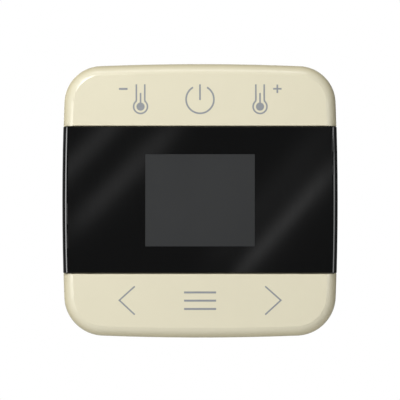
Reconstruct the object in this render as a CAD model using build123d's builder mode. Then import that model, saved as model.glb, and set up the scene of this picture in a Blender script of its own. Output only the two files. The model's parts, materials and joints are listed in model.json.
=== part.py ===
from build123d import *
import math
import os

# Room thermostat for a round flush wall box.
# +Z is up, the front faces -Y, and the wall surface is the plane y = 0.
# "h" is the height above the wall, towards the room, so y = -h.
# Everything is in millimetres.

os.makedirs("parts", exist_ok=True)

# ------------------------------------------------------------------ driving sizes
WIDTH = 81.0  # widest, across the bowed sides
HEIGHT = 80.55  # tallest, across the bowed top and bottom
SIDE_BOW_R = 760.0  # radius of the bowed left and right sides
END_BOW_R = 724.0  # radius of the bowed top and bottom
CORNER_TOP_R = 11.0
CORNER_BOTTOM_R = 11.7
FACE_H = 15.0  # window's face above the wall
STRIP_FACE_H = 14.95  # key strips' face, a hair lower than the window
EDGE_R = 3.88  # rolled edge of the key strips
CROWN = 0.115  # the roll is cut this far below its top, which leaves a soft crease
WINDOW_EDGE_R = 1.7  # rolled edge of the window's two ends
REAR_GAP = 0.3  # frame's rear rim stands this far off the wall

WINDOW_TOP_Z = 21.8
WINDOW_BOTTOM_Z = -21.25
SEAM = 0.2  # gap between the window and each key strip
WINDOW_T = 2.2
WINDOW_SKIRT_T = 1.6
APERTURE_W, APERTURE_H, APERTURE_Z = 32.3, 27.2, 0.15

FRAME_TOP_H = 8.8
FRAME_WALL = 1.8
SKIRT_H = 9.8  # lower rim of the key strips' skirts
SKIRT_T = 1.6
KEY_CEILING_H = 13.2
DECK_H0, DECK_H1 = 7.9, 9.0
LIP_GAP = 0.35  # between a key strip's skirt and the lip inside it
LIP_T = 1.0
LIP_H = 10.9
RAIL_H = 12.3  # rails that carry the window
ADHESIVE_T = 0.5

KEY_Z_TOP = 29.9  # height of the upper row of key positions
KEY_Z_BOTTOM = -29.2
KEY_PITCH = 24.0  # outer key positions, either side of the middle one
KEY_TRAVEL = 0.4
PIN_H = 11.6  # rocker pin's height above the wall
PIN_R = 0.8
LEG_X = 10.0  # guide legs of a key carrier
BOSS_POINTS = [(31.6, 32.0), (-31.6, 32.0), (31.6, -31.6), (-31.6, -31.6)]

COVER_H0, COVER_H1 = 3.4, 4.6  # rear cover of the front unit
BOARD_H0, BOARD_H1 = 5.8, 7.0  # display board

PLATE_SIZE, PLATE_T, PLATE_R = 71.0, 1.0, 6.0
BOX_PITCH = 60.0  # wall box screw spacing
BOX_SLOT_R, BOX_SLOT_L = 2.0, 6.6
CLIP_X, CLIP_Z = 20.0, 29.6

INSERT_SIZE, INSERT_R, INSERT_WALL = 45.0, 8.0, 1.5
INSERT_DEPTH = 24.0
FLANGE_SIZE, FLANGE_T = 52.0, 1.0
INSERT_SCREW_XZ = 23.6
POWER_Y0, POWER_Y1 = 8.4, 10.0  # power board, behind the wall plane
HEADER_Z = 12.0
HEADER_PINS, HEADER_PITCH = 8, 2.54

POLES = [-12.0, -4.0, 4.0, 12.0]
POLE_Z = -17.1
CAGE_TRAVEL = 1.8


# ------------------------------------------------------------------ shared shapes
def level(h):
    """The plane parallel to the wall at height h; its x is +X and its y is +Z."""
    return Plane.XZ.offset(h)


def outline(inset):
    """The rounded square with bowed sides, moved inwards by inset."""
    a, b = WIDTH / 2 - inset, HEIGHT / 2 - inset
    rs, re = SIDE_BOW_R - inset, END_BOW_R - inset
    x, z = a, b
    for _ in range(40):
        x = a - rs + math.sqrt(rs * rs - z * z)
        z = b - re + math.sqrt(re * re - x * x)
    with BuildSketch() as s:
        with BuildLine():
            ThreePointArc((x, -z), (a, 0), (x, z))
            ThreePointArc((x, z), (0, b), (-x, z))
            ThreePointArc((-x, z), (-a, 0), (-x, -z))
            ThreePointArc((-x, -z), (0, -b), (x, -z))
        make_face()
        fillet([v for v in s.vertices() if v.Y > 0], radius=CORNER_TOP_R - inset)
        fillet([v for v in s.vertices() if v.Y < -z + 0.01], radius=CORNER_BOTTOM_R - inset)
    return s.sketch


def prism(shape, h0, h1, mode=Mode.ADD):
    """A local sketch drawn out from height h0 to h1."""
    with BuildSketch(level(h0)) as s:
        add(shape)
    extrude(s.sketch, amount=h1 - h0, mode=mode)


def slab(x0, x1, z0, z1, h0, h1, mode=Mode.ADD, r=0.0):
    """A rectangular block between two heights, with optional corner radius."""
    with BuildSketch(level(h0)) as s:
        with Locations(((x0 + x1) / 2, (z0 + z1) / 2)):
            if r:
                RectangleRounded(x1 - x0, z1 - z0, r)
            else:
                Rectangle(x1 - x0, z1 - z0)
    extrude(s.sketch, amount=h1 - h0, mode=mode)


def studs(points, radius, h0, h1, mode=Mode.ADD):
    """Round studs or holes square to the wall."""
    with BuildSketch(level(h0)) as s:
        with Locations(*points):
            Circle(radius)
    extrude(s.sketch, amount=h1 - h0, mode=mode)


def front_form(edge_r, crown, h0, face):
    """The outer form of the front, from height h0 up to the face, with its rolled edge."""
    with BuildPart() as f:
        with BuildSketch(level(h0)):
            add(outline(0))
        extrude(amount=face + crown - h0)
        fillet(f.faces().sort_by(Axis.Y)[0].edges(), radius=edge_r)
        if crown:
            split(bisect_by=level(face), keep=Keep.BOTTOM)
    return f.part


def zone(z0, z1, h0=-60.0, h1=60.0):
    """Keeps only what lies between two heights on the wall."""
    with BuildSketch(level(h0)) as s:
        with Locations((0, (z0 + z1) / 2)):
            Rectangle(200, z1 - z0)
    extrude(s.sketch, amount=h1 - h0, mode=Mode.INTERSECT)


written = []


def write(builder, name):
    builder.part.label = name
    export_step(builder.part, f"parts/{name}.step")
    written.append(name)


# ------------------------------------------------------------------ mounting plate
with BuildPart() as mounting_plate:
    with BuildSketch(level(0)):
        RectangleRounded(PLATE_SIZE, PLATE_SIZE, PLATE_R)
        RectangleRounded(INSERT_SIZE + 0.6, INSERT_SIZE + 0.6, INSERT_R, mode=Mode.SUBTRACT)
        with Locations((BOX_PITCH / 2, 0), (-BOX_PITCH / 2, 0)):
            SlotOverall(BOX_SLOT_L, 2 * BOX_SLOT_R, mode=Mode.SUBTRACT)
        with Locations((0, BOX_PITCH / 2), (0, -BOX_PITCH / 2)):
            SlotOverall(BOX_SLOT_L, 2 * BOX_SLOT_R, rotation=90, mode=Mode.SUBTRACT)
        with GridLocations(2 * INSERT_SCREW_XZ, 2 * INSERT_SCREW_XZ, 2, 2):
            Circle(1.0, mode=Mode.SUBTRACT)
    extrude(amount=PLATE_T)
    # shallow stiffening beads pressed into the front, beside the screw slots
    for sx, sz in ((1, 0), (-1, 0), (0, 1), (0, -1)):
        for side in (-1, 1):
            cx, cz = sx * 30.5 + sz * side * 11.0, sz * 30.5 + sx * side * 11.0
            with BuildSketch(level(PLATE_T - 0.3)) as bead:
                with Locations((cx, cz)):
                    SlotOverall(9.0, 1.6, rotation=90 if sx else 0)
            extrude(bead.sketch, amount=0.3, mode=Mode.SUBTRACT)
write(mounting_plate, "mounting_plate")

# ------------------------------------------------------------------ spring clips on the plate
with BuildPart() as retaining_clips:
    for cx in (-CLIP_X, CLIP_X):
        for cz in (-CLIP_Z, CLIP_Z):
            slab(cx - 2.6, cx + 2.6, cz - 2.2, cz + 2.2, PLATE_T, PLATE_T + 0.3)
            slab(cx - 2.6, cx + 2.6, cz - 0.85, cz - 0.55, PLATE_T + 0.3, PLATE_T + 2.0)
            slab(cx - 2.6, cx + 2.6, cz + 0.55, cz + 0.85, PLATE_T + 0.3, PLATE_T + 2.0)
write(retaining_clips, "retaining_clips")

# ------------------------------------------------------------------ insert housing
half = INSERT_SIZE / 2
with BuildPart() as insert_housing:
    with BuildSketch(level(PLATE_T)):
        RectangleRounded(FLANGE_SIZE, FLANGE_SIZE, 4.0)
    extrude(amount=FLANGE_T)
    with BuildSketch(level(PLATE_T)):
        RectangleRounded(INSERT_SIZE, INSERT_SIZE, INSERT_R - 0.3)
    extrude(amount=-(INSERT_DEPTH + PLATE_T))
    fillet(insert_housing.faces().sort_by(Axis.Y)[-1].edges(), radius=1.2)
    inner = INSERT_SIZE - 2 * INSERT_WALL
    with BuildSketch(level(PLATE_T + FLANGE_T)):
        RectangleRounded(inner, inner, INSERT_R - 0.3 - INSERT_WALL)
    extrude(amount=-(INSERT_DEPTH + PLATE_T + FLANGE_T - INSERT_WALL), mode=Mode.SUBTRACT)
    # ribs that the power board rests on
    for x0, x1 in ((-21.2, -19.6), (19.6, 21.2)):
        for z0, z1 in ((-9.0, -4.0), (10.0, 15.0)):
            slab(x0, x1, z0, z1, -22.6, -POWER_Y1)
    # notch for the terminal block, through the lower wall and the back
    slab(-16.6, 16.6, -half - 1, -11.2, -INSERT_DEPTH - 1, -10.8, mode=Mode.SUBTRACT)
    # cooling slots in the back
    for k in range(5):
        with BuildSketch(level(-INSERT_DEPTH - 1)) as slot:
            with Locations((0, 16.0 - 3.4 * k)):
                SlotOverall(18.0, 1.4)
        extrude(slot.sketch, amount=3.0, mode=Mode.SUBTRACT)
    with BuildSketch(level(PLATE_T)) as holes:
        with GridLocations(2 * INSERT_SCREW_XZ, 2 * INSERT_SCREW_XZ, 2, 2):
            Circle(1.2)
    extrude(holes.sketch, amount=FLANGE_T, mode=Mode.SUBTRACT)
write(insert_housing, "insert_housing")

# ------------------------------------------------------------------ insert screws
with BuildPart() as insert_screws:
    corners = [(x, z) for x in (-INSERT_SCREW_XZ, INSERT_SCREW_XZ) for z in (-INSERT_SCREW_XZ, INSERT_SCREW_XZ)]
    studs(corners, 1.0, 0.05, PLATE_T + FLANGE_T)
    studs(corners, 1.9, PLATE_T + FLANGE_T, PLATE_T + FLANGE_T + 1.0)
    fillet(insert_screws.faces().filter_by(Plane.XZ).group_by(Axis.Y)[0].edges(), radius=0.45)
    for x, z in corners:
        slab(x - 1.2, x + 1.2, z - 0.22, z + 0.22, PLATE_T + FLANGE_T + 0.45, 5.0, mode=Mode.SUBTRACT)
        slab(x - 0.22, x + 0.22, z - 1.2, z + 1.2, PLATE_T + FLANGE_T + 0.45, 5.0, mode=Mode.SUBTRACT)
write(insert_screws, "insert_screws")

# ------------------------------------------------------------------ insert cover
with BuildPart() as insert_cover:
    with BuildSketch(level(0.8)):
        RectangleRounded(inner - 0.3, inner - 0.3, INSERT_R - 0.45 - INSERT_WALL)
    extrude(amount=1.2)
    studs([(-17.0, 16.5), (17.0, 16.5), (-17.0, -16.5), (17.0, -16.5)], 1.8, -POWER_Y0 + 0.02, 0.8)
    slab(-11.4, 11.4, HEADER_Z - 2.9, HEADER_Z + 2.9, 0.0, 3.0, mode=Mode.SUBTRACT, r=0.6)
    for k in range(4):
        with BuildSketch(level(0)) as slot:
            with Locations((0, 2.0 - 4.0 * k)):
                SlotOverall(22.0, 1.4)
        extrude(slot.sketch, amount=3.0, mode=Mode.SUBTRACT)
write(insert_cover, "insert_cover")

# ------------------------------------------------------------------ power board and what is on it
with BuildPart() as power_board:
    with BuildSketch(level(-POWER_Y1)):
        RectangleRounded(inner - 0.6, inner - 0.6, INSERT_R - 0.6 - INSERT_WALL)
        with Locations(*[(x, -12.9) for x in POLES]):
            Rectangle(1.6, 1.2, mode=Mode.SUBTRACT)
    extrude(amount=POWER_Y1 - POWER_Y0)
write(power_board, "power_board")

with BuildPart() as relay:
    slab(-18.8, 1.2, 8.4, 18.6, -21.6, -POWER_Y1)
    fillet(relay.edges().filter_by(Axis.Y), radius=0.8)
    fillet(relay.faces().sort_by(Axis.Y)[-1].edges(), radius=0.4)
write(relay, "relay")

with BuildPart() as power_module:
    slab(3.2, 18.9, 2.0, 18.6, -20.4, -POWER_Y1)
    fillet(power_module.edges().filter_by(Axis.Y), radius=0.6)
    chamfer(power_module.faces().sort_by(Axis.Y)[-1].edges(), length=0.4)
write(power_module, "power_module")

with BuildPart() as film_capacitor:
    slab(-18.6, -5.6, -8.9, -3.9, -20.6, -POWER_Y1)
    fillet(film_capacitor.edges().filter_by(Axis.Y), radius=0.7)
    fillet(film_capacitor.faces().sort_by(Axis.Y)[-1].edges(), radius=0.4)
write(film_capacitor, "film_capacitor")

with BuildPart() as smoothing_capacitors:
    cans = [(6.4, -4.6), (14.8, -4.6)]
    studs(cans, 3.9, -21.4, -POWER_Y1)
    fillet(smoothing_capacitors.faces().filter_by(Plane.XZ).group_by(Axis.Y)[-1].edges(), radius=0.5)
    for x, z in cans:
        with BuildSketch(Plane(origin=(x, 11.6, z), x_dir=(1, 0, 0), z_dir=(0, 0, 1))) as groove:
            with Locations((4.05, 0)):
                Circle(0.45)
        revolve(groove.sketch, axis=Axis((x, 0, z), (0, 1, 0)), mode=Mode.SUBTRACT)
write(smoothing_capacitors, "smoothing_capacitors")

with BuildPart() as varistor:
    with BuildSketch(Plane.YZ.offset(-3.2)):
        with Locations((15.2, -5.2)):
            Circle(4.4)
    extrude(amount=3.4)
    fillet(varistor.edges(), radius=1.0)
    studs([(-2.5, -7.2), (-0.6, -3.2)], 0.3, -12.4, -POWER_Y1)
write(varistor, "varistor")

with BuildPart() as fuse:
    with BuildSketch(Plane.YZ.offset(-18.4)):
        with Locations((12.9, 3.0)):
            Circle(2.4)
    extrude(amount=18.0)
    with BuildSketch(Plane.YZ.offset(-18.4)) as cap_a:
        with Locations((12.9, 3.0)):
            Circle(2.65)
    extrude(cap_a.sketch, amount=4.0)
    with BuildSketch(Plane.YZ.offset(-4.4)) as cap_b:
        with Locations((12.9, 3.0)):
            Circle(2.65)
    extrude(cap_b.sketch, amount=4.0)
write(fuse, "fuse")

pin_x = [(k - (HEADER_PINS - 1) / 2) * HEADER_PITCH for k in range(HEADER_PINS)]
with BuildPart() as header_socket:
    slab(-10.3, 10.3, HEADER_Z - 1.27, HEADER_Z + 1.27, -POWER_Y0, 0.1)
    for x in pin_x:
        slab(x - 0.45, x + 0.45, HEADER_Z - 0.45, HEADER_Z + 0.45, -7.2, 0.1, mode=Mode.SUBTRACT)
    chamfer(header_socket.faces().sort_by(Axis.Y)[0].outer_wire().edges(), length=0.3)
write(header_socket, "header_socket")

# ------------------------------------------------------------------ terminal block with rising cage clamps
with BuildPart() as terminal_block:
    slab(-16.4, 16.4, -half, -11.4, -INSERT_DEPTH, -11.0)
    chamfer(terminal_block.faces().sort_by(Axis.Y)[-1].edges(), length=0.4)
    for x in POLES:
        # chamber of the cage
        slab(x - 3.3, x + 3.3, -20.5, -12.1, -19.8, -11.0, mode=Mode.SUBTRACT)
        # wire entry with its funnel
        slab(x - 1.8, x + 1.8, -half - 1, -20.0, -14.6, -12.1, mode=Mode.SUBTRACT)
        slab(x - 2.4, x + 2.4, -half - 1, -half + 0.9, -15.1, -11.6, mode=Mode.SUBTRACT)
    poles = [(x, POLE_Z) for x in POLES]
    studs(poles, 1.55, -20.7, -19.7, mode=Mode.SUBTRACT)
    studs(poles, 2.5, -22.6, -20.6, mode=Mode.SUBTRACT)
    studs(poles, 1.95, -INSERT_DEPTH - 1, -22.5, mode=Mode.SUBTRACT)
write(terminal_block, "terminal_block")

with BuildPart() as terminal_busbars:
    for x in POLES:
        slab(x - 1.9, x + 1.9, -20.2, -12.5, -15.4, -14.6)
        slab(x - 0.5, x + 0.5, -13.3, -12.5, -14.6, -7.6)
write(terminal_busbars, "terminal_busbars")

for n, x in enumerate(POLES, 1):
    with BuildPart() as cage:
        slab(x - 3.1, x + 3.1, POLE_Z - 3.0, POLE_Z + 3.0, -17.9, -11.2)
        slab(x - 2.2, x + 2.2, POLE_Z - 4.0, POLE_Z + 4.0, -16.6, -12.0, mode=Mode.SUBTRACT)
        studs([(x, POLE_Z)], 1.55, -18.5, -16.0, mode=Mode.SUBTRACT)
        fillet(cage.edges().filter_by(Axis.Z).group_by(SortBy.LENGTH)[-1], radius=0.35)
    write(cage, f"terminal_cage_{n}")

    with BuildPart() as screw:
        studs([(x, POLE_Z)], 1.5, -20.8, -15.45)
        chamfer(screw.faces().sort_by(Axis.Y)[0].edges(), length=0.4)
        studs([(x, POLE_Z)], 2.2, -22.2, -20.62)
        chamfer(screw.faces().sort_by(Axis.Y)[-1].edges(), length=0.25)
        slab(x - 2.5, x + 2.5, POLE_Z - 0.35, POLE_Z + 0.35, -22.5, -21.3, mode=Mode.SUBTRACT)
        slab(x - 0.3, x + 0.3, POLE_Z - 1.3, POLE_Z + 1.3, -22.5, -21.3, mode=Mode.SUBTRACT)
    write(screw, f"terminal_screw_{n}")

# ------------------------------------------------------------------ front frame
lip_out = SKIRT_T + LIP_GAP
key_rows = [(KEY_Z_TOP, 1), (KEY_Z_BOTTOM, -1)]
with BuildPart() as front_frame:
    prism(outline(0), REAR_GAP, FRAME_TOP_H)
    fillet(front_frame.faces().sort_by(Axis.Y)[-1].edges(), radius=0.5)
    prism(outline(FRAME_WALL), REAR_GAP, DECK_H0, mode=Mode.SUBTRACT)
    prism(outline(FRAME_WALL), DECK_H0, FRAME_TOP_H, mode=Mode.SUBTRACT)
    prism(outline(FRAME_WALL - 0.01), DECK_H0, DECK_H1)
    # lip inside the key strips' skirts, and the two walls beside the window
    prism(outline(lip_out), DECK_H0, LIP_H)
    prism(outline(lip_out + LIP_T), DECK_H1, LIP_H, mode=Mode.SUBTRACT)
    # the lip is cut away where the strips' inner walls and the window sit
    slab(-60, 60, WINDOW_BOTTOM_Z - SEAM - 2.0, WINDOW_TOP_Z + SEAM + 2.0, DECK_H1, 20, mode=Mode.SUBTRACT)
    # rails that carry the window
    slab(-36.0, 36.0, WINDOW_BOTTOM_Z + 0.6, WINDOW_TOP_Z - 0.6, DECK_H0, RAIL_H)
    slab(-34.4, 34.4, WINDOW_BOTTOM_Z + 2.2, WINDOW_TOP_Z - 2.2, DECK_H1, RAIL_H, mode=Mode.SUBTRACT)
    # opening for the display module
    slab(-23.2, 23.2, -18.6, 18.9, DECK_H0 - 1, DECK_H1 + 1, mode=Mode.SUBTRACT, r=1.0)
    # holes for domes, posts and guide legs
    for z, _ in key_rows:
        studs([(-KEY_PITCH, z), (0, z), (KEY_PITCH, z)], 3.7, DECK_H0 - 1, DECK_H1 + 1, mode=Mode.SUBTRACT)
        studs([(-LEG_X, z), (LEG_X, z)], 1.4, DECK_H0 - 1, DECK_H1 + 1, mode=Mode.SUBTRACT)
    # bosses for the four housing screws, down to the board and up through the deck
    studs(BOSS_POINTS, 2.5, BOARD_H1, DECK_H0)
    studs(BOSS_POINTS, 2.2, DECK_H1, 10.6)
    studs(BOSS_POINTS, 1.1, BOARD_H1 - 1, 10.0, mode=Mode.SUBTRACT)
    # stops that keep the board down beside the window
    for x in (-37.2, 37.2):
        for z in (-14.0, 14.0):
            slab(x - 0.9, x + 0.9, z - 1.5, z + 1.5, BOARD_H1, DECK_H0)
    # ventilation slots through the lower and upper walls
    for k in range(9):
        x = (k - 4) * 4.0
        slab(x - 0.7, x + 0.7, -50, -36.0, 1.9, 6.4, mode=Mode.SUBTRACT)
        slab(x - 0.7, x + 0.7, 36.0, 50, 1.9, 6.4, mode=Mode.SUBTRACT)
write(front_frame, "front_frame")

# ------------------------------------------------------------------ rear cover of the front unit
with BuildPart() as rear_cover:
    prism(outline(FRAME_WALL + 0.2), COVER_H0, COVER_H1)
    # windows over the wall box screws' heads
    for x, z in ((30, 0), (-30, 0), (0, 30), (0, -30)):
        slab(x - 3.9, x + 3.9, z - 3.9, z + 3.9, COVER_H0 - 1, COVER_H1 + 1, mode=Mode.SUBTRACT, r=0.8)
    slab(-11.2, 11.2, HEADER_Z - 2.1, HEADER_Z + 2.1, COVER_H0 - 1, COVER_H1 + 1, mode=Mode.SUBTRACT, r=0.5)
    studs(BOSS_POINTS, 2.5, COVER_H1, BOARD_H0)
    studs(BOSS_POINTS, 1.25, COVER_H0 - 1, BOARD_H0 + 1, mode=Mode.SUBTRACT)
    # blades that push into the spring clips
    for cx in (-CLIP_X, CLIP_X):
        for cz in (-CLIP_Z, CLIP_Z):
            slab(cx - 2.4, cx + 2.4, cz - 0.5, cz + 0.5, 1.5, COVER_H0)
    # ventilation slots
    for k in range(7):
        x = (k - 3) * 5.0
        with BuildSketch(level(COVER_H0 - 1)) as slot:
            with Locations((x, -13.0), (x, 1.5)):
                SlotOverall(9.0, 1.6, rotation=90)
        extrude(slot.sketch, amount=3.2, mode=Mode.SUBTRACT)
write(rear_cover, "rear_cover")

with BuildPart() as housing_screws:
    studs(BOSS_POINTS, 1.1, COVER_H0, 9.8)
    studs(BOSS_POINTS, 2.1, COVER_H0 - 1.1, COVER_H0)
    fillet(housing_screws.faces().filter_by(Plane.XZ).group_by(Axis.Y)[-1].edges(), radius=0.45)
    for x, z in BOSS_POINTS:
        slab(x - 1.3, x + 1.3, z - 0.25, z + 0.25, 0.5, COVER_H0 - 0.5, mode=Mode.SUBTRACT)
        slab(x - 0.25, x + 0.25, z - 1.3, z + 1.3, 0.5, COVER_H0 - 0.5, mode=Mode.SUBTRACT)
write(housing_screws, "housing_screws")

# ------------------------------------------------------------------ display board
with BuildPart() as display_board:
    prism(outline(FRAME_WALL + 0.35), BOARD_H0, BOARD_H1)
    studs(BOSS_POINTS, 1.3, BOARD_H0 - 1, BOARD_H1 + 1, mode=Mode.SUBTRACT)
    for z, _ in key_rows:
        studs([(-LEG_X, z), (LEG_X, z)], 2.2, BOARD_H0 - 1, BOARD_H1 + 1, mode=Mode.SUBTRACT)
    for x in pin_x:
        slab(x - 0.4, x + 0.4, HEADER_Z - 0.4, HEADER_Z + 0.4, BOARD_H0 - 1, BOARD_H1 + 1, mode=Mode.SUBTRACT)
    # slots either side of the temperature sensor, so that the board's own heat stays away from it
    for x in (-23.6, -17.4):
        slab(x - 0.5, x + 0.5, -37.6, -34.0, BOARD_H0 - 1, BOARD_H1 + 1, mode=Mode.SUBTRACT)
write(display_board, "display_board")

with BuildPart() as microcontroller:
    slab(-5.0, 5.0, -9.0, 1.0, BOARD_H0 - 1.05, BOARD_H0 - 0.1)
    chamfer(microcontroller.faces().sort_by(Axis.Y)[-1].edges(), length=0.15)
    for k in range(8):
        p = (k - 3.5) * 1.1
        slab(p - 0.18, p + 0.18, -10.0, 2.0, BOARD_H0 - 0.22, BOARD_H0)
        slab(-6.0, 6.0, -4.0 + p - 0.18, -4.0 + p + 0.18, BOARD_H0 - 0.22, BOARD_H0)
write(microcontroller, "microcontroller")

with BuildPart() as temperature_sensor:
    slab(-21.6, -19.4, -37.2, -35.6, BOARD_H0 - 1.1, BOARD_H0)
    fillet(temperature_sensor.faces().sort_by(Axis.Y)[-1].edges(), radius=0.35)
write(temperature_sensor, "temperature_sensor")

with BuildPart() as header_base:
    slab(-10.2, 10.2, HEADER_Z - 1.25, HEADER_Z + 1.25, BOARD_H0 - 2.5, BOARD_H0)
    for x in pin_x:
        slab(x - 0.33, x + 0.33, HEADER_Z - 0.33, HEADER_Z + 0.33, BOARD_H0 - 3, BOARD_H0 + 1, mode=Mode.SUBTRACT)
write(header_base, "header_base")

with BuildPart() as header_pins:
    for x in pin_x:
        slab(x - 0.32, x + 0.32, HEADER_Z - 0.32, HEADER_Z + 0.32, -6.0, BOARD_H1 - 0.05)
    chamfer(header_pins.faces().filter_by(Plane.XZ).group_by(Axis.Y)[-1].edges(), length=0.15)
write(header_pins, "header_pins")

# ------------------------------------------------------------------ display module
dz = APERTURE_Z
with BuildPart() as lcd_holder:
    slab(-22.6, 22.6, dz - 18.1, dz + 18.1, BOARD_H1, 11.9)
    fillet(lcd_holder.edges().filter_by(Axis.Y), radius=0.8)
    slab(-19.3, 19.3, dz - 17.1, dz + 17.1, BOARD_H1 - 1, 10.95, mode=Mode.SUBTRACT)
    slab(-17.8, 17.8, dz - 15.2, dz + 15.2, 10.5, 13.0, mode=Mode.SUBTRACT)
write(lcd_holder, "lcd_holder")

with BuildPart() as light_guide:
    slab(-19.0, 19.0, dz - 14.4, dz + 14.4, BOARD_H1, 9.45)
    chamfer(light_guide.edges().filter_by(Axis.Y), length=0.5)
    slab(-19.5, -18.0, dz - 10.5, dz - 7.5, BOARD_H1 - 0.5, 8.9, mode=Mode.SUBTRACT)
    slab(-19.5, -18.0, dz - 1.5, dz + 1.5, BOARD_H1 - 0.5, 8.9, mode=Mode.SUBTRACT)
    slab(-19.5, -18.0, dz + 7.5, dz + 10.5, BOARD_H1 - 0.5, 8.9, mode=Mode.SUBTRACT)
write(light_guide, "light_guide")

with BuildPart() as backlight_leds:
    for z in (dz - 9.0, dz, dz + 9.0):
        slab(-19.2, -18.2, z - 1.3, z + 1.3, BOARD_H1, 8.6)
write(backlight_leds, "backlight_leds")

with BuildPart() as lcd_glass:
    slab(-19.0, 19.0, dz - 16.9, dz + 16.9, 9.45, 10.2)
    slab(-19.0, 19.0, dz - 15.0, dz + 16.9, 10.2, 10.95)
write(lcd_glass, "lcd_glass")

with BuildPart() as display_polarizer:
    slab(-17.5, 17.5, dz - 14.6, dz + 14.8, 10.95, 11.2, r=0.3)
write(display_polarizer, "display_polarizer")

with BuildPart() as zebra_strips:
    slab(-18.0, 18.0, dz - 16.8, dz - 14.8, BOARD_H1, 9.45)
    slab(-18.0, 18.0, dz + 14.8, dz + 16.8, BOARD_H1, 9.45)
write(zebra_strips, "zebra_strips")

# ------------------------------------------------------------------ window
with BuildPart() as window_adhesive:
    with BuildSketch(level(RAIL_H)):
        with Locations((0, (WINDOW_TOP_Z + WINDOW_BOTTOM_Z) / 2)):
            Rectangle(71.8, WINDOW_TOP_Z - WINDOW_BOTTOM_Z - 1.4)
            Rectangle(69.0, WINDOW_TOP_Z - WINDOW_BOTTOM_Z - 4.2, mode=Mode.SUBTRACT)
    extrude(amount=ADHESIVE_T)
write(window_adhesive, "window_adhesive")

window_back_h = RAIL_H + ADHESIVE_T
with BuildPart() as window_panel:
    add(front_form(WINDOW_EDGE_R, 0.0, FRAME_TOP_H + 0.1, FACE_H))
    zone(WINDOW_BOTTOM_Z, WINDOW_TOP_Z)
    prism(outline(WINDOW_SKIRT_T), FRAME_TOP_H - 1, window_back_h, mode=Mode.SUBTRACT)
    slab(-APERTURE_W / 2, APERTURE_W / 2, dz - APERTURE_H / 2, dz + APERTURE_H / 2, 10, 20, mode=Mode.SUBTRACT)
    long_edges = [
        e
        for e in window_panel.edges().filter_by(Axis.X)
        if abs(e.center().Y + FACE_H) < 1e-4 and abs(e.center().Z) > 20
    ]
    chamfer(long_edges, length=0.18)
write(window_panel, "window_panel")

with BuildPart() as display_lens:
    slab(
        -APERTURE_W / 2 + 0.06, APERTURE_W / 2 - 0.06,
        dz - APERTURE_H / 2 + 0.06, dz + APERTURE_H / 2 - 0.06,
        window_back_h - 0.02, FACE_H - 0.12,
    )
    slab(-18.4, 18.4, dz - 15.8, dz + 15.8, 12.0, window_back_h - 0.02, r=0.6)
write(display_lens, "display_lens")

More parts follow.
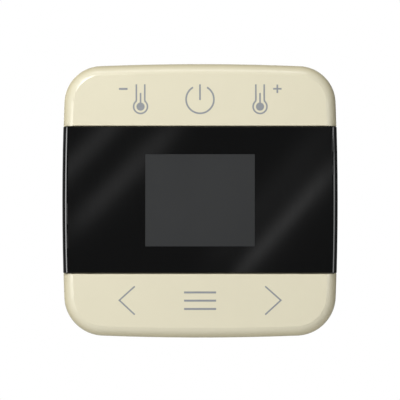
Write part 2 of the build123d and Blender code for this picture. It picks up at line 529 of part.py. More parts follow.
# ------------------------------------------------------------------ key strips, carriers, pins and keypads
KEY_WALL_H = 10.4  # lower rim of the strips' walls along the window
for name, key_z, sign in (("top", KEY_Z_TOP, 1), ("bottom", KEY_Z_BOTTOM, -1)):
    edge_z = WINDOW_TOP_Z + SEAM if sign > 0 else WINDOW_BOTTOM_Z - SEAM
    z_far = sign * 60.0
    with BuildPart() as strip:
        add(front_form(EDGE_R, CROWN, SKIRT_H, STRIP_FACE_H))
        zone(min(edge_z, z_far), max(edge_z, z_far))
        # hollow inside, open towards the wall
        with BuildSketch(level(SKIRT_H - 1)) as hollow:
            add(outline(SKIRT_T))
            with Locations((0, (edge_z + sign * 1.4 + z_far) / 2)):
                Rectangle(200, abs(z_far - edge_z - sign * 1.4), mode=Mode.INTERSECT)
        extrude(hollow.sketch, amount=KEY_CEILING_H - SKIRT_H + 1, mode=Mode.SUBTRACT)
        # the wall along the window stops higher than the skirt, clear of the window's rails
        wall_z = sorted((edge_z - sign * 0.5, edge_z + sign * 1.6))
        slab(-39.0, 39.0, *wall_z, SKIRT_H - 1, KEY_WALL_H, mode=Mode.SUBTRACT)
        # actuator posts at the outer key positions
        studs([(-KEY_PITCH, key_z), (KEY_PITCH, key_z)], 1.5, 8.75, KEY_CEILING_H + 0.2)
        # stiffening ribs
        for z in (key_z - 4.4, key_z + 4.4):
            slab(-33.0, -5.0, z - 0.4, z + 0.4, 12.2, KEY_CEILING_H + 0.2)
            slab(5.0, 33.0, z - 0.4, z + 0.4, 12.2, KEY_CEILING_H + 0.2)
        # lugs for the rocker pin
        for z0 in (key_z - 5.2, key_z + 3.2):
            slab(-2.0, 2.0, z0, z0 + 2.0, PIN_H - 1.6, KEY_CEILING_H + 0.2)
        with BuildSketch(Plane.XY.offset(key_z - 6.0)) as bore:
            with Locations((0, -PIN_H)):
                Circle(PIN_R + 0.05)
        extrude(bore.sketch, amount=12.0, mode=Mode.SUBTRACT)
        # small round along the edge that faces the window
        seam_edges = [
            e
            for e in strip.edges().filter_by(Axis.X)
            if abs(e.center().Y + STRIP_FACE_H) < 1e-4 and abs(e.center().Z - edge_z) < 1e-4
        ]
        fillet(seam_edges, radius=0.25)
    write(strip, f"{name}_key_strip")

    with BuildPart() as carrier:
        slab(-12.6, 12.6, key_z - 2.6, key_z + 2.6, 9.75, 10.95, r=1.2)
        slab(-2.2, 2.2, key_z - 2.6, key_z + 2.6, 10.95, PIN_H + 1.2)
        studs([(-LEG_X, key_z), (LEG_X, key_z)], 1.3, 7.3, 9.75)
        studs([(-LEG_X, key_z), (LEG_X, key_z)], 1.8, 7.3, 7.85)
        studs([(0, key_z)], 1.6, 8.75, 9.75)
        with BuildSketch(Plane.XY.offset(key_z - 6.0)) as bore:
            with Locations((0, -PIN_H)):
                Circle(PIN_R)
        extrude(bore.sketch, amount=12.0, mode=Mode.SUBTRACT)
    write(carrier, f"{name}_key_carrier")

    with BuildPart() as pin:
        with BuildSketch(Plane.XY.offset(key_z - 5.3)):
            with Locations((0, -PIN_H)):
                Circle(PIN_R)
        extrude(amount=10.6)
        chamfer(pin.edges().filter_by(GeomType.CIRCLE), length=0.15)
    write(pin, f"{name}_rocker_pin")

    with BuildPart() as keypad:
        slab(-28.4, 28.4, key_z - 4.4, key_z + 4.4, BOARD_H1, DECK_H0, r=1.5)
        for x in (-KEY_PITCH, 0, KEY_PITCH):
            with BuildSketch(Plane(origin=(x, 0, key_z), x_dir=(1, 0, 0), z_dir=(0, 0, 1))) as dome:
                with BuildLine():
                    Polyline((0, -8.0), (0, -8.7), (1.7, -8.7), (1.9, -8.5), (3.2, -7.9), (3.2, -7.4),
                             (2.5, -7.4), (1.3, -8.0), (0, -8.0))
                make_face()
            revolve(dome.sketch, axis=Axis((x, 0, key_z), (0, 1, 0)))
            with BuildSketch(level(BOARD_H1 - 0.5)) as chamber:
                with Locations((x, key_z)):
                    Circle(2.45)
            extrude(chamber.sketch, amount=1.15, mode=Mode.SUBTRACT)
        studs([(-LEG_X, key_z), (LEG_X, key_z)], 2.4, BOARD_H1 - 1, DECK_H0 + 1, mode=Mode.SUBTRACT)
    write(keypad, f"{name}_keypad")

print(len(written), "parts:", ", ".join(written))
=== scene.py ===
import json
import math

import bpy
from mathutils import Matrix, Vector


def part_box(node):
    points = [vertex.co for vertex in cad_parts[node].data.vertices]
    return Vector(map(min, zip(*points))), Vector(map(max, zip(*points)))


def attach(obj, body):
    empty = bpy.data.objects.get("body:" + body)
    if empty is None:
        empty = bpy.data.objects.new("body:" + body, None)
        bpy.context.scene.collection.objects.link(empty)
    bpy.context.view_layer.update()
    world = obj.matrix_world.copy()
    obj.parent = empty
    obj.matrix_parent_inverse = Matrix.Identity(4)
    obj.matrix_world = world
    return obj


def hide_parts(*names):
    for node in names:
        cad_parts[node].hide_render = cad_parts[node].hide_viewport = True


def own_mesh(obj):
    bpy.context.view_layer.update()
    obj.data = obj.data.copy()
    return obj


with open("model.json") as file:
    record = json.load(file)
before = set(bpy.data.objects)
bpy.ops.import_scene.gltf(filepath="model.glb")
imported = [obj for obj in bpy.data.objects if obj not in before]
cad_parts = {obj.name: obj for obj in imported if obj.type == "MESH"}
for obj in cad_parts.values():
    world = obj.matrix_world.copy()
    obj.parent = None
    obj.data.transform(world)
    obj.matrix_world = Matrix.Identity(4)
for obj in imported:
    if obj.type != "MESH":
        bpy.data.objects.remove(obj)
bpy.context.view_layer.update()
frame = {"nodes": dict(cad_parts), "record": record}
nodes = frame["nodes"]


# ------------------------------------------------------------------ material building blocks
class Tree:
    """A small helper that writes node trees in the order the surface is thought of."""

    def __init__(self, name):
        self.mat = bpy.data.materials.new(name)
        self.mat.use_nodes = True
        self.nt = self.mat.node_tree
        self.nt.nodes.clear()
        self.out = self.nt.nodes.new("ShaderNodeOutputMaterial")
        self.bsdf = self.nt.nodes.new("ShaderNodeBsdfPrincipled")
        self.nt.links.new(self.bsdf.outputs[0], self.out.inputs[0])
        coord = self.nt.nodes.new("ShaderNodeTexCoord")
        self.pos = coord.outputs["Object"]

    def put(self, socket, value):
        if hasattr(value, "is_output"):
            self.nt.links.new(value, socket)
        elif value is not None:
            socket.default_value = value

    def node(self, kind, **sockets):
        n = self.nt.nodes.new(kind)
        for key, value in sockets.items():
            if key.startswith("p_"):
                setattr(n, key[2:], value)
        for key, value in sockets.items():
            if not key.startswith("p_"):
                self.put(n.inputs[int(key[1:]) if key[0] == "i" and key[1:].isdigit() else key], value)
        return n

    def noise(self, scale, detail=2.0, rough=0.5, vector=None, distortion=0.0):
        n = self.node("ShaderNodeTexNoise", Vector=vector or self.pos, Scale=scale, Detail=detail, Roughness=rough,
                      Distortion=distortion)
        return n.outputs["Fac"] if "Fac" in n.outputs else n.outputs[0]

    def voronoi(self, scale, feature="F1", vector=None, randomness=1.0, metric="EUCLIDEAN"):
        n = self.nt.nodes.new("ShaderNodeTexVoronoi")
        n.feature = feature
        if feature != "DISTANCE_TO_EDGE":
            n.distance = metric
        self.put(n.inputs["Vector"], vector or self.pos)
        self.put(n.inputs["Scale"], scale)
        self.put(n.inputs["Randomness"], randomness)
        return n.outputs["Distance"]

    def stretch(self, sx, sy, sz, rot=(0, 0, 0)):
        n = self.node("ShaderNodeMapping", Vector=self.pos)
        n.inputs["Rotation"].default_value = rot
        n.inputs["Scale"].default_value = (sx, sy, sz)
        return n.outputs[0]

    def ramp(self, value, lo, hi, to_lo=0.0, to_hi=1.0, smooth=True):
        n = self.nt.nodes.new("ShaderNodeMapRange")
        n.interpolation_type = "SMOOTHSTEP" if smooth else "LINEAR"
        for key, v in (("Value", value), ("From Min", lo), ("From Max", hi), ("To Min", to_lo), ("To Max", to_hi)):
            self.put(n.inputs[key], v)
        return n.outputs[0]

    def math(self, op, a, b=None, c=None):
        n = self.nt.nodes.new("ShaderNodeMath")
        n.operation = op
        self.put(n.inputs[0], a)
        if b is not None:
            self.put(n.inputs[1], b)
        if c is not None:
            self.put(n.inputs[2], c)
        return n.outputs[0]

    def mix(self, fac, a, b):
        n = self.nt.nodes.new("ShaderNodeMix")
        n.data_type = "RGBA"
        self.put(n.inputs[0], fac)
        self.put(n.inputs[6], a)
        self.put(n.inputs[7], b)
        return n.outputs[2]

    def bump(self, height, distance, strength=1.0, normal=None):
        n = self.nt.nodes.new("ShaderNodeBump")
        self.put(n.inputs["Height"], height)
        self.put(n.inputs["Distance"], distance)
        self.put(n.inputs["Strength"], strength)
        if normal is not None:
            self.put(n.inputs["Normal"], normal)
        return n.outputs[0]

    def edges(self, radius, lo=0.002, hi=0.10):
        """0 on open faces, 1 along rounded-over edges."""
        bevel = self.nt.nodes.new("ShaderNodeBevel")
        bevel.samples = 4
        bevel.inputs["Radius"].default_value = radius
        geometry = self.nt.nodes.new("ShaderNodeNewGeometry")
        dot = self.nt.nodes.new("ShaderNodeVectorMath")
        dot.operation = "DOT_PRODUCT"
        self.nt.links.new(bevel.outputs[0], dot.inputs[0])
        self.nt.links.new(geometry.outputs["Normal"], dot.inputs[1])
        return self.ramp(self.math("SUBTRACT", 1.0, dot.outputs["Value"]), lo, hi)

    def surface(self, **values):
        for key, value in values.items():
            self.put(self.bsdf.inputs[key.replace("_", " ")], value)
        return self.mat


def rgb(r, g, b):
    return (r, g, b, 1.0)


def shade(c, k):
    return (min(1.0, c[0] * k), min(1.0, c[1] * k), min(1.0, c[2] * k), 1.0)


def moulded(name, colour, rough=0.42, grain=5200.0, depth=0.000004, mottle=0.012, wear=0.10, spec=0.5, coat=0.0,
            painted_roll_shade=None):
    """Injection-moulded plastic: spark-eroded grain, a faint flow mottle and slightly polished edges; optionally a
    painted shade that darkens faces turning away from the front.
    """
    t = Tree(name)
    flow = t.noise(38.0, 3.0, 0.55, distortion=0.4)
    fine = t.noise(grain, 2.0, 0.6)
    pits = t.voronoi(grain * 0.62)
    edge = t.edges(0.00035)
    base = t.mix(t.ramp(flow, 0.3, 0.7), shade(colour, 1.0 - mottle), shade(colour, 1.0 + mottle))
    base = t.mix(t.math("MULTIPLY", edge, wear), base, shade(colour, 1.14))
    # painted shade: faces turning away from the front (|normal y| below 0.93) blend towards the darker roll colour,
    # standing in for shade on the rolled edge
    if painted_roll_shade is not None:
        geometry = t.nt.nodes.new("ShaderNodeNewGeometry")
        n = t.nt.nodes.new("ShaderNodeSeparateXYZ")
        t.nt.links.new(geometry.outputs["Normal"], n.inputs[0])
        base = t.mix(t.ramp(t.math("ABSOLUTE", n.outputs[1]), 0.45, 0.93, 1.0, 0.0), base, painted_roll_shade)
    r = t.math("ADD", t.ramp(flow, 0.3, 0.7, rough - 0.025, rough + 0.025), t.math("MULTIPLY", fine, 0.05))
    r = t.math("SUBTRACT", r, t.math("MULTIPLY", edge, 0.06))
    height = t.math("ADD", t.math("MULTIPLY", fine, 0.6), t.math("MULTIPLY", pits, 0.4))
    return t.surface(Base_Color=base, Roughness=r, Normal=t.bump(height, depth, 0.55), Specular_IOR_Level=spec,
                     Coat_Weight=coat)


def metal(name, colour, rough=0.3, brush=(1, 1, 1), streak=900.0, depth=0.000003, wear=0.5, spots=0.0, dark=0.72):
    """Plated or rolled metal: directional streaks, cloudy oxide, edges rubbed brighter."""
    t = Tree(name)
    line = t.noise(streak, 3.0, 0.6, vector=t.stretch(*brush))
    cloud = t.noise(90.0, 4.0, 0.6)
    speck = t.voronoi(1500.0)
    edge = t.edges(0.0003)
    base = t.mix(t.ramp(cloud, 0.35, 0.7), shade(colour, dark), colour)
    base = t.mix(t.math("MULTIPLY", t.ramp(line, 0.35, 0.75), 0.35), base, shade(colour, 1.12))
    if spots:
        base = t.mix(t.math("MULTIPLY", t.ramp(speck, 0.05, 0.25, 1.0, 0.0), spots), base, shade(colour, 0.55))
    base = t.mix(t.math("MULTIPLY", edge, wear), base, shade(colour, 1.25))
    r = t.math("ADD", t.ramp(line, 0.3, 0.7, rough - 0.07, rough + 0.09), t.math("MULTIPLY", cloud, 0.10))
    return t.surface(Base_Color=base, Metallic=1.0, Roughness=r, Normal=t.bump(line, depth, 0.6))


CREAM = rgb(0.775, 0.728, 0.555)
ROLL_PAINTED_SHADE = rgb(0.706, 0.641, 0.432)  # painted shade: the rolled edge and side walls of the keys take this darker, warmer colour where they turn away from the front


def gloss_black():
    """Polished black window: very slight waviness and a haze of hair-fine polishing marks."""
    t = Tree("gloss_black_window")
    wave = t.noise(55.0, 1.0, 0.4)
    hairs = t.noise(1400.0, 2.0, 0.5, vector=t.stretch(1.0, 1.0, 0.06, rot=(0, 0.6, 0)))
    haze = t.noise(26.0, 3.0, 0.6)
    base = t.mix(haze, rgb(0.0006, 0.0007, 0.0008), rgb(0.0010, 0.0011, 0.0012))
    r = t.math("ADD", t.ramp(haze, 0.3, 0.7, 0.034, 0.046), t.math("MULTIPLY", hairs, 0.014))
    height = t.math("ADD", wave, t.math("MULTIPLY", hairs, 0.02))
    return t.surface(Base_Color=base, Roughness=r, Normal=t.bump(height, 0.0000012, 0.4), IOR=1.49)


def lens():
    """The clear part of the window over an unlit display: smoky grey, with the display's fine raster just visible."""
    t = Tree("display_lens")
    coord = t.nt.nodes.new("ShaderNodeSeparateXYZ")
    t.nt.links.new(t.pos, coord.inputs[0])
    cols = t.math("PINGPONG", t.math("MULTIPLY", coord.outputs[0], 1.0), 0.000125)
    rows = t.math("PINGPONG", t.math("MULTIPLY", coord.outputs[2], 1.0), 0.000125)
    cell = t.math("MULTIPLY", t.ramp(cols, 0.0, 0.000030), t.ramp(rows, 0.0, 0.000030))
    cloud = t.noise(30.0, 3.0, 0.5)
    base = t.mix(t.ramp(cloud, 0.3, 0.7), rgb(0.0282, 0.0296, 0.0306), rgb(0.0300, 0.0314, 0.0324))
    base = t.mix(t.math("MULTIPLY", t.math("SUBTRACT", 1.0, cell), 0.35), base, rgb(0.0225, 0.0238, 0.0246))
    r = t.ramp(cloud, 0.3, 0.7, 0.40, 0.46)
    return t.surface(Base_Color=base, Roughness=r, Normal=t.bump(t.noise(2600.0, 2.0, 0.6), 0.000002, 0.4),
                     Specular_IOR_Level=0.25)


def ink():
    """Grey pad-printed ink with a slightly uneven film."""
    t = Tree("printed_ink")
    film = t.noise(900.0, 3.0, 0.6)
    fine = t.noise(9000.0, 2.0, 0.6)
    base = t.mix(film, rgb(0.270, 0.285, 0.300), rgb(0.292, 0.308, 0.322))
    return t.surface(Base_Color=base, Roughness=t.ramp(fine, 0.3, 0.7, 0.46, 0.58),
                     Normal=t.bump(fine, 0.000003, 0.5))


def board(name):
    """Glass-epoxy circuit board: green mask over copper tracks, weave at the edges."""
    t = Tree(name)
    tracks = t.voronoi(210.0, feature="DISTANCE_TO_EDGE", vector=t.stretch(1, 1, 1, rot=(0, 0.785, 0)), randomness=0.55)
    track = t.ramp(tracks, 0.045, 0.065, 1.0, 0.0)
    via = t.ramp(t.voronoi(330.0, randomness=0.35), 0.085, 0.115, 1.0, 0.0)
    geometry = t.nt.nodes.new("ShaderNodeNewGeometry")
    n = t.nt.nodes.new("ShaderNodeSeparateXYZ")
    t.nt.links.new(geometry.outputs["Normal"], n.inputs[0])
    face = t.ramp(t.math("ABSOLUTE", n.outputs[1]), 0.5, 0.8)
    weave = t.noise(2500.0, 1.0, 0.5, vector=t.stretch(0.2, 3.0, 0.2))
    mask = t.mix(t.math("MULTIPLY", track, 0.8), rgb(0.010, 0.085, 0.030), rgb(0.030, 0.175, 0.060))
    mask = t.mix(via, mask, rgb(0.62, 0.60, 0.52))
    edge = t.mix(weave, rgb(0.30, 0.33, 0.17), rgb(0.42, 0.43, 0.26))
    base = t.mix(face, edge, mask)
    rough = t.math("ADD", 0.30, t.math("MULTIPLY", t.noise(1800.0), 0.12))
    height = t.math("ADD", t.math("MULTIPLY", track, 1.0), t.math("MULTIPLY", weave, 0.3))
    return t.surface(Base_Color=base, Roughness=rough, Normal=t.bump(height, 0.00003, 0.6),
                     Metallic=t.math("MULTIPLY", via, face))


def rubber(name, colour, rough=0.75, grain=3000.0):
    t = Tree(name)
    dust = t.noise(120.0, 5.0, 0.65)
    fine = t.noise(grain, 3.0, 0.6)
    base = t.mix(t.ramp(dust, 0.35, 0.75), shade(colour, 0.92), shade(colour, 1.10))
    return t.surface(Base_Color=base, Roughness=t.ramp(dust, 0.3, 0.7, rough - 0.06, rough + 0.06),
                     Normal=t.bump(fine, 0.00001, 0.5), Specular_IOR_Level=0.35)


def zebra(name):
    """Elastomer connector: hair-thin dark conducting layers between pale insulating ones."""
    t = Tree(name)
    coord = t.nt.nodes.new("ShaderNodeSeparateXYZ")
    t.nt.links.new(t.pos, coord.inputs[0])
    stripe = t.ramp(t.math("PINGPONG", coord.outputs[0], 0.00018), 0.00006, 0.00012)
    base = t.mix(stripe, rgb(0.03, 0.03, 0.03), rgb(0.78, 0.45, 0.50))
    return t.surface(Base_Color=base, Roughness=t.ramp(t.noise(900.0), 0.3, 0.7, 0.55, 0.7),
                     Normal=t.bump(stripe, 0.00001, 0.4))


def fuse_glass():
    """Fuse: glass body with nickel end caps, told apart along its length."""
    t = Tree("fuse_body")
    coord = t.nt.nodes.new("ShaderNodeSeparateXYZ")
    t.nt.links.new(t.pos, coord.inputs[0])
    low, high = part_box("fuse")
    middle = (low.x + high.x) / 2
    cap = t.ramp(t.math("ABSOLUTE", t.math("SUBTRACT", coord.outputs[0], middle)), 0.00495, 0.00505)
    scuff = t.noise(700.0, 4.0, 0.6, vector=t.stretch(0.2, 1, 1))
    base = t.mix(cap, t.mix(scuff, rgb(0.42, 0.45, 0.43), rgb(0.60, 0.63, 0.60)),
                 t.mix(scuff, rgb(0.55, 0.54, 0.50), rgb(0.78, 0.77, 0.73)))
    return t.surface(Base_Color=base, Metallic=cap, Roughness=t.ramp(scuff, 0.3, 0.7, 0.10, 0.26),
                     Normal=t.bump(scuff, 0.000006, 0.5))


def capacitor():
    """Electrolytic capacitors: dark shrink sleeve, pale polarity stripe, bare aluminium end."""
    t = Tree("capacitor_sleeve")
    coord = t.nt.nodes.new("ShaderNodeSeparateXYZ")
    t.nt.links.new(t.pos, coord.inputs[0])
    low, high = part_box("smoothing_capacitors")
    lowest = t.ramp(coord.outputs[2], low.z + 0.0009, low.z + 0.0010, 1.0, 0.0)
    end = t.ramp(coord.outputs[1], high.y - 0.00008, high.y - 0.00003)
    dust = t.noise(400.0, 4.0, 0.6)
    sleeve = t.mix(dust, rgb(0.012, 0.014, 0.040), rgb(0.022, 0.024, 0.060))
    sleeve = t.mix(lowest, sleeve, rgb(0.55, 0.55, 0.52))
    base = t.mix(end, sleeve, t.mix(dust, rgb(0.55, 0.55, 0.56), rgb(0.75, 0.75, 0.76)))
    return t.surface(Base_Color=base, Metallic=end, Roughness=t.ramp(dust, 0.3, 0.7, 0.28, 0.42),
                     Normal=t.bump(dust, 0.00001, 0.5))


def diffuser(name, colour, rough=0.35):
    t = Tree(name)
    dots = t.voronoi(900.0, randomness=0.0)
    cloud = t.noise(60.0, 3.0, 0.5)
    base = t.mix(t.ramp(dots, 0.2, 0.3), shade(colour, 1.05), shade(colour, 0.93))
    base = t.mix(t.math("MULTIPLY", cloud, 0.3), base, shade(colour, 0.85))
    return t.surface(Base_Color=base, Roughness=t.ramp(cloud, 0.3, 0.7, rough - 0.05, rough + 0.08),
                     Normal=t.bump(dots, 0.00002, 0.4))


def glass(name):
    """Two bonded plates with faint electrode lines, seen as a smoky sheet."""
    t = Tree(name)
    coord = t.nt.nodes.new("ShaderNodeSeparateXYZ")
    t.nt.links.new(t.pos, coord.inputs[0])
    lines = t.ramp(t.math("PINGPONG", coord.outputs[0], 0.00025), 0.00002, 0.00006)
    base = t.mix(lines, rgb(0.22, 0.25, 0.24), rgb(0.36, 0.40, 0.38))
    return t.surface(Base_Color=base, Roughness=t.ramp(t.noise(300.0), 0.3, 0.7, 0.04, 0.10),
                     Normal=t.bump(t.noise(80.0), 0.000002, 0.4), Coat_Weight=0.4)


materials = {
    "key_plastic": moulded("cream_key_plastic", CREAM, rough=0.17, mottle=0.006, wear=0.04, painted_roll_shade=ROLL_PAINTED_SHADE),
    "cream_plastic": moulded("cream_frame_plastic", CREAM, rough=0.44, grain=4200.0, depth=0.000006, mottle=0.010),
    "gloss_black": gloss_black(),
    "lens_grey": lens(),
    "dark_plastic": moulded("dark_grey_plastic", rgb(0.030, 0.031, 0.033), rough=0.50, grain=3600.0, depth=0.00001,
                            mottle=0.08, wear=0.55),
    "white_plastic": moulded("white_plastic", rgb(0.72, 0.72, 0.68), rough=0.46, grain=3900.0, depth=0.000008,
                             mottle=0.015, wear=0.15),
    "grey_plastic": moulded("grey_slider_plastic", rgb(0.24, 0.25, 0.26), rough=0.36, mottle=0.03, wear=0.3),
    "terminal_plastic": moulded("green_terminal_plastic", rgb(0.035, 0.19, 0.085), rough=0.40, grain=3600.0,
                                depth=0.000008, mottle=0.05, wear=0.35),
    "relay_plastic": moulded("blue_relay_case", rgb(0.012, 0.060, 0.26), rough=0.30, mottle=0.05, wear=0.3),
    "module_plastic": moulded("black_epoxy", rgb(0.018, 0.018, 0.020), rough=0.58, grain=2400.0, depth=0.00002,
                              mottle=0.10, wear=0.5),
    "film_plastic": moulded("yellow_film_case", rgb(0.62, 0.40, 0.035), rough=0.33, mottle=0.04, wear=0.3),
    "varistor_epoxy": moulded("blue_varistor_dip", rgb(0.015, 0.10, 0.34), rough=0.34, grain=1400.0, depth=0.00004,
                              mottle=0.08, wear=0.3),
    "sensor_epoxy": moulded("sensor_bead", rgb(0.04, 0.04, 0.042), rough=0.35, mottle=0.06, wear=0.3),
    "capacitor_sleeve": capacitor(),
    "board": board("circuit_board"),
    "zinc_steel": metal("zinc_plated_sheet", rgb(0.60, 0.61, 0.62), rough=0.34, brush=(1, 1, 0.03), streak=1300.0,
                        wear=0.45, spots=0.10, dark=0.86),
    "spring_steel": metal("spring_steel", rgb(0.46, 0.46, 0.47), rough=0.26, brush=(0.05, 1, 1), streak=1600.0, wear=0.4),
    "screw_steel": metal("screw_steel", rgb(0.56, 0.56, 0.55), rough=0.30, brush=(1, 0.1, 1), streak=2400.0, wear=0.6,
                         spots=0.15),
    "brass": metal("brass", rgb(0.70, 0.50, 0.20), rough=0.30, brush=(1, 1, 0.06), streak=1800.0, wear=0.45, spots=0.12),
    "pin_metal": metal("gilt_pins", rgb(0.83, 0.62, 0.24), rough=0.20, brush=(1, 0.05, 1), streak=3000.0, wear=0.3),
    "silicone": rubber("silicone", rgb(0.50, 0.51, 0.51)),
    "zebra_rubber": zebra("contact_elastomer"),
    "adhesive": rubber("adhesive_foam", rgb(0.018, 0.018, 0.018), rough=0.85, grain=1500.0),
    "fuse_glass": fuse_glass(),
    "led_white": diffuser("led_lens", rgb(0.80, 0.77, 0.45), 0.25),
    "diffuser": diffuser("light_guide", rgb(0.74, 0.77, 0.78)),
    "display_glass": glass("display_glass"),
    "polarizer": moulded("polariser_film", rgb(0.13, 0.14, 0.13), rough=0.28, mottle=0.03, wear=0.2),
}
slot_of = {s["node"]: s["material_slot"] for s in frame["record"]["subparts"]}
for name, node in nodes.items():
    node.data.materials.clear()
    node.data.materials.append(materials[slot_of[name]])


# ------------------------------------------------------------------ silicone keypads, copied with their domes set a little lower
for side, key_z in (("top", 0.0299), ("bottom", -0.0292)):
    cad_pad = nodes[side + "_keypad"]
    pad = cad_pad.copy()
    pad.data = cad_pad.data.copy()
    pad.name = side + "_soft_keypad"
    for key in list(pad.keys()):
        del pad[key]
    bpy.context.scene.collection.objects.link(pad)
    bpy.context.view_layer.update()
    out, back = pad.matrix_world.copy(), pad.matrix_world.inverted()
    for vertex in pad.data.vertices:  # the domes stand a little lower, with free travel before the posts touch
        point = out @ vertex.co
        if point.y < -0.0079:
            point.y = -0.0079 + (point.y + 0.0079) * 0.68
            vertex.co = back @ point
    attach(pad, "front_unit")
    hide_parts(side + "_keypad")
    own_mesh(pad)


# ------------------------------------------------------------------ printed symbols
MM = 0.001
PRINT_BASE, PRINT_TOP = -0.014944, -0.014975
INK = ink()


def arc_points(cx, cz, r, a0, a1, n):
    return [(cx + r * math.cos(math.radians(a0 + (a1 - a0) * k / n)),
             cz + r * math.sin(math.radians(a0 + (a1 - a0) * k / n))) for k in range(n + 1)]


def stroke(path, width, closed=False):
    """The mitred outline of a line drawn along path, as left and right edges."""
    n = len(path)
    left, right = [], []
    for i, (x, z) in enumerate(path):
        before = path[i - 1] if i or closed else None
        after = path[(i + 1) % n] if i < n - 1 or closed else None
        dirs = []
        for a, b in ((before, (x, z)), ((x, z), after)):
            if a and b:
                d = Vector((b[0] - a[0], b[1] - a[1]))
                if d.length > 1e-9:
                    dirs.append(d.normalized())
        normals = [Vector((-d.y, d.x)) for d in dirs]
        m = sum(normals, Vector((0, 0)))
        m.normalize()
        k = width / 2 / max(0.35, m.dot(normals[0]))
        left.append((x + m.x * k, z + m.y * k))
        right.append((x - m.x * k, z - m.y * k))
    return left, right


class Print:
    """Collects flat printed shapes and makes one thin mesh of them."""

    def __init__(self):
        self.verts, self.faces = [], []

    def polygon(self, points):
        self.strip_or_fan(points)

    def strip_or_fan(self, points):
        area = sum(a[0] * b[1] - b[0] * a[1] for a, b in zip(points, points[1:] + points[:1]))
        if area < 0:
            points = points[::-1]
        base, n = len(self.verts), len(points)
        for y in (PRINT_TOP, PRINT_BASE):
            self.verts += [(x * MM, y, z * MM) for x, z in points]
        self.faces.append([base + i for i in range(n)])
        self.faces.append([base + n + i for i in reversed(range(n))])
        for i in range(n):
            j = (i + 1) % n
            self.faces.append([base + j, base + i, base + n + i, base + n + j])

    def line(self, path, width, closed=False):
        left, right = stroke(path, width, closed)
        base, n = len(self.verts), len(path)
        for y in (PRINT_TOP, PRINT_BASE):
            self.verts += [(x * MM, y, z * MM) for x, z in left]
            self.verts += [(x * MM, y, z * MM) for x, z in right]
        for i in range(n if closed else n - 1):
            j = (i + 1) % n
            lt, rt, lb, rb = base, base + n, base + 2 * n, base + 3 * n
            self.faces.append([lt + i, rt + i, rt + j, lt + j])
            self.faces.append([lb + j, rb + j, rb + i, lb + i])
            self.faces.append([lt + j, lb + j, lb + i, lt + i])
            self.faces.append([rt + i, rb + i, rb + j, rt + j])
        if not closed:
            for i, flip in ((0, False), (n - 1, True)):
                f = [base + i, base + 2 * n + i, base + 3 * n + i, base + n + i]
                self.faces.append(f[::-1] if flip else f)

    def build(self, name, body):
        mesh = bpy.data.meshes.new(name)
        mesh.from_pydata(self.verts, [], self.faces)
        mesh.validate()
        mesh.update()
        mesh.materials.append(INK)
        piece = bpy.data.objects.new(name, mesh)
        bpy.context.scene.collection.objects.link(piece)
        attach(piece, body)
        return piece


LINE = 0.47


def bar(p, x0, x1, z0, z1):
    p.polygon([(x0, z0), (x1, z0), (x1, z1), (x0, z1)])


def thermometer(p, cx):
    zb, r, tube = 27.66, 2.03, 1.23
    join = math.degrees(math.asin(tube / r))
    neck = zb + r * math.cos(math.radians(join))
    path = [(cx - tube, 34.19), (cx - tube, neck + 0.35)]
    path += [(cx + r * math.sin(math.radians(a)), zb + r * math.cos(math.radians(a)))
             for a in [-(join + 4) - k * (360 - 2 * join - 8) / 40 for k in range(41)]]
    path += [(cx + tube, neck + 0.35), (cx + tube, 34.19)]
    p.line(path, LINE)
    rd, half = 1.2, LINE / 2
    a0 = math.degrees(math.asin(half / rd))
    p.polygon([(cx - half, 31.66), (cx - half, zb + rd * math.cos(math.radians(a0)))]
              + [(cx + rd * math.sin(math.radians(a)), zb + rd * math.cos(math.radians(a)))
                 for a in [-a0 - k * (360 - 2 * a0) / 36 for k in range(1, 36)]]
              + [(cx + half, zb + rd * math.cos(math.radians(a0))), (cx + half, 31.66)])


top = Print()
bar(top, -23.79, -21.26, 32.56, 33.14)
thermometer(top, -17.45)
top.line(arc_points(0.0, 29.77, 4.08, 90 - 30.2, 90 - 329.8, 56), 0.5)
bar(top, -0.25, 0.25, 29.57, 34.19)
thermometer(top, 17.62)
cx, cz, a, b = 22.70, 32.88, 1.235, 0.25
top.polygon([(cx - a, cz - b), (cx - b, cz - b), (cx - b, cz - a), (cx + b, cz - a), (cx + b, cz - b), (cx + a, cz - b),
             (cx + a, cz + b), (cx + b, cz + b), (cx + b, cz + a), (cx - b, cz + a), (cx - b, cz + b), (cx - a, cz + b)])
top.build("top_printed_symbols", "top_key")

bottom = Print()
bottom.line([(-19.15, -25.11), (-23.68, -29.20), (-19.15, -33.42)], 0.45)
bottom.line([(19.13, -25.11), (23.74, -29.20), (19.13, -33.42)], 0.45)
for z in (-26.90, -29.31, -31.75):
    bar(bottom, -4.67, 4.73, z - 0.29, z + 0.29)
bottom.build("bottom_printed_symbols", "bottom_key")


# ------------------------------------------------------------------ camera
FACE_Y = -0.015
DISTANCE = 1.2
FIELD = 0.11741  # width seen at the face
camera = bpy.data.cameras.new("camera")
camera.sensor_width = 36.0
camera.lens = 36.0 * DISTANCE / FIELD
camera.clip_start, camera.clip_end = 0.05, 20.0
eye = bpy.data.objects.new("camera", camera)
bpy.context.scene.collection.objects.link(eye)
eye.location = (0.0, FACE_Y - DISTANCE, 0.000235)
eye.rotation_euler = (math.radians(90), 0, 0)
bpy.context.scene.camera = eye


# ------------------------------------------------------------------ studio
def aim(obj, target):
    obj.rotation_euler = (Vector(target) - obj.location).to_track_quat("-Z", "Y").to_euler()


def softbox(name, azimuth, elevation, distance, width, height, radiance, colour=(1, 1, 1)):
    """A soft light seen from the face in that direction; azimuth is to the right of straight ahead."""
    a, e = math.radians(azimuth), math.radians(elevation)
    data = bpy.data.lights.new(name, "AREA")
    data.shape = "RECTANGLE"
    data.size, data.size_y = width, height
    data.energy = radiance * math.pi * width * height
    data.color = colour
    lamp = bpy.data.objects.new(name, data)
    lamp.location = Vector((math.sin(a) * math.cos(e), -math.cos(a) * math.cos(e), math.sin(e))) * distance + Vector(
        (0, FACE_Y, 0))
    aim(lamp, (0, FACE_Y, 0))
    lamp.visible_camera = False
    bpy.context.scene.collection.objects.link(lamp)
    return lamp


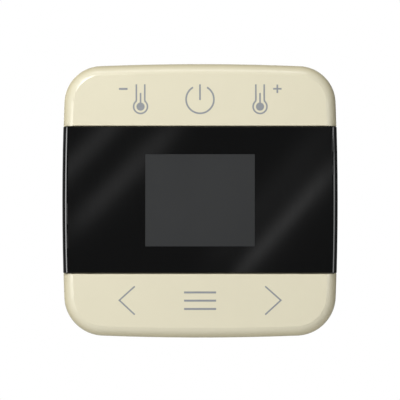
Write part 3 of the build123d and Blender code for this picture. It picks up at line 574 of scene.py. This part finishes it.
def streak(name, offset, width, length, radiance, along=0.0, tilt=0.0):
    """A narrow diagonal light beside the camera whose soft edge shows in the window as a slanting sheen.
    offset is where its reflection crosses the window, measured square to the slant."""
    k = 2.0 * math.sqrt(0.5)
    data = bpy.data.lights.new(name, "AREA")
    data.shape = "RECTANGLE"
    data.size, data.size_y = width * 2, length * 2
    data.energy = radiance * math.pi * width * length * 4
    data.use_nodes = True
    nt = data.node_tree
    emission = next(n for n in nt.nodes if n.type == "EMISSION")
    geometry = nt.nodes.new("ShaderNodeNewGeometry")
    parts = nt.nodes.new("ShaderNodeSeparateXYZ")
    nt.links.new(geometry.outputs["Parametric"], parts.inputs[0])
    factor = None
    for axis, soft in ((0, 0.5), (1, 0.35)):
        ping = nt.nodes.new("ShaderNodeMath")
        ping.operation = "PINGPONG"
        nt.links.new(parts.outputs[axis], ping.inputs[0])
        ping.inputs[1].default_value = 0.5
        rise = nt.nodes.new("ShaderNodeMapRange")
        rise.interpolation_type = "SMOOTHSTEP"
        nt.links.new(ping.outputs[0], rise.inputs[0])
        rise.inputs["From Min"].default_value = 0.0
        rise.inputs["From Max"].default_value = soft
        if factor is None:
            factor = rise.outputs[0]
        else:
            times = nt.nodes.new("ShaderNodeMath")
            times.operation = "MULTIPLY"
            nt.links.new(factor, times.inputs[0])
            nt.links.new(rise.outputs[0], times.inputs[1])
            factor = times.outputs[0]
    nt.links.new(factor, emission.inputs["Strength"])
    lamp = bpy.data.objects.new(name, data)
    lamp.location = (k * offset + k * along, FACE_Y - DISTANCE - 0.002, -k * offset + k * along)
    lamp.rotation_euler = (math.radians(90), math.radians(45 - tilt), 0)
    lamp.visible_camera = False
    bpy.context.scene.collection.objects.link(lamp)
    return lamp


softbox("key", -27.0, 31, 0.52, 0.21, 0.21, 10.8)
softbox("upper_left", -50, 38, 0.56, 0.19, 0.19, 2.0)
softbox("back_left", -112, 6, 0.8, 0.36, 0.36, 0.35)
softbox("right", 64, 2, 1.0, 0.50, 0.40, 0.25)
softbox("overhead", -4, 64, 0.60, 0.36, 0.15, 3.2)
softbox("right_front", 30, 14, 1.0, 0.36, 0.40, 0.55)
softbox("left_gleam", -46.5, 0, 1.0, 0.41, 0.115, 9.6)
softbox("rear_fill", 180, 12, 1.2, 0.9, 0.6, 1.1)
softbox("rear_left", -155, 8, 1.2, 0.5, 0.6, 0.6)
softbox("right_gleam", 45.5, 0, 1.0, 0.38, 0.115, 4.9)
streak("sheen_far_left", -0.0339, 0.0080, 0.058, 0.60, along=-0.015)
streak("sheen_left", -0.0206, 0.0088, 0.064, 0.60, along=-0.011)
streak("sheen_right", 0.0221, 0.0046, 0.068, 1.46, along=0.014, tilt=3.4)
streak("sheen_right_shoulder", 0.0130, 0.0105, 0.078, 0.18, along=0.018, tilt=3.4)

world = bpy.data.worlds.new("studio")
bpy.context.scene.world = world
world.use_nodes = True
wt = world.node_tree
wt.nodes.clear()
wout = wt.nodes.new("ShaderNodeOutputWorld")
wmix = wt.nodes.new("ShaderNodeMixShader")
path = wt.nodes.new("ShaderNodeLightPath")
fill = wt.nodes.new("ShaderNodeBackground")
fill.inputs["Color"].default_value = (1, 1, 1, 1)
fill.inputs["Strength"].default_value = 0.138
white = wt.nodes.new("ShaderNodeBackground")
white.inputs["Color"].default_value = (1, 1, 1, 1)
white.inputs["Strength"].default_value = 1.0
wt.links.new(path.outputs["Is Camera Ray"], wmix.inputs[0])
wt.links.new(fill.outputs[0], wmix.inputs[1])
wt.links.new(white.outputs[0], wmix.inputs[2])
wt.links.new(wmix.outputs[0], wout.inputs[0])

floor_mesh = bpy.data.meshes.new("studio_floor")
floor_mesh.from_pydata([(-0.6, -0.6, -0.085), (0.6, -0.6, -0.085), (0.6, 0.45, -0.085), (-0.6, 0.45, -0.085)], [],
                       [(0, 1, 2, 3)])
floor = bpy.data.objects.new("studio_floor", floor_mesh)
bpy.context.scene.collection.objects.link(floor)
ft = Tree("pale_floor")
ft.surface(Base_Color=ft.mix(ft.noise(8.0), rgb(0.80, 0.80, 0.79), rgb(0.84, 0.84, 0.83)), Roughness=0.7)
floor.data.materials.append(ft.mat)

bpy.context.scene.view_settings.view_transform = "Standard"
bpy.context.scene.view_settings.look = "None"
